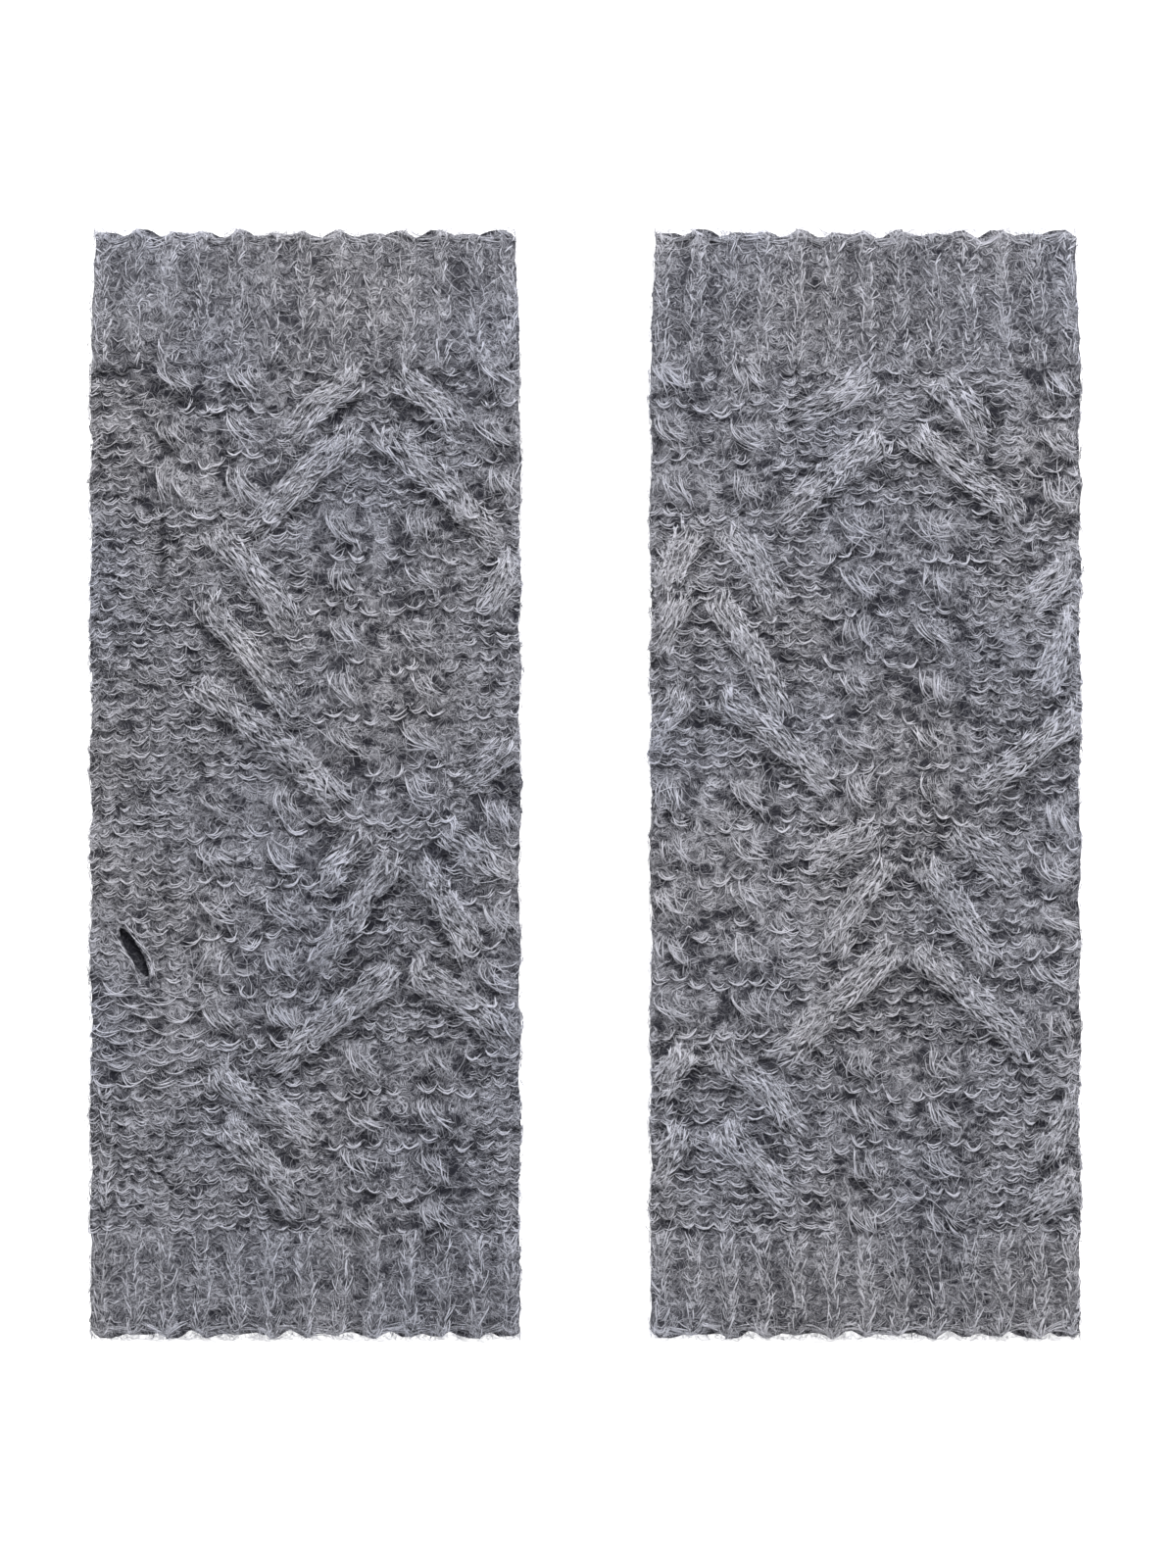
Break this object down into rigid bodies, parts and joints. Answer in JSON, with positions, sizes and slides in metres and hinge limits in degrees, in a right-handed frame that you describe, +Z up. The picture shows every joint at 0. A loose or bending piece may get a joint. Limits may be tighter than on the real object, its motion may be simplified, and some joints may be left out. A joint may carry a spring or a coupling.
{
  "type": "pair of cabled mohair hand warmers, fingerless tube mitts laid flat",
  "caption": "Pair of fingerless tube mitts in cabled mohair knit, laid flat side by side, with ribbed cuffs and a thumb slit.",
  "frame": {"origin": "on the surface the pair lies on, under the middle of the pair", "axes": "+Y towards the arm ends, +X towards the right mitt as seen from above, +Z up"},
  "size_m": [0.2226, 0.2484, 0.0096],
  "materials": {
    "cable_knit": "brushed grey mohair yarn, cabled",
    "palm_knit": "brushed grey mohair yarn, plain knit",
    "rib_knit": "brushed grey mohair yarn, ribbed"
  },
  "bodies": {
    "root": {"left_cable_panel": "cable_knit", "left_palm_panel": "palm_knit", "left_arm_rib_front": "rib_knit", "left_arm_rib_back": "rib_knit", "left_hand_rib_front": "rib_knit", "left_hand_rib_back": "rib_knit", "right_cable_panel": "cable_knit", "right_palm_panel": "palm_knit", "right_arm_rib_front": "rib_knit", "right_arm_rib_back": "rib_knit", "right_hand_rib_front": "rib_knit", "right_hand_rib_back": "rib_knit"}
  },
  "joints": []
}
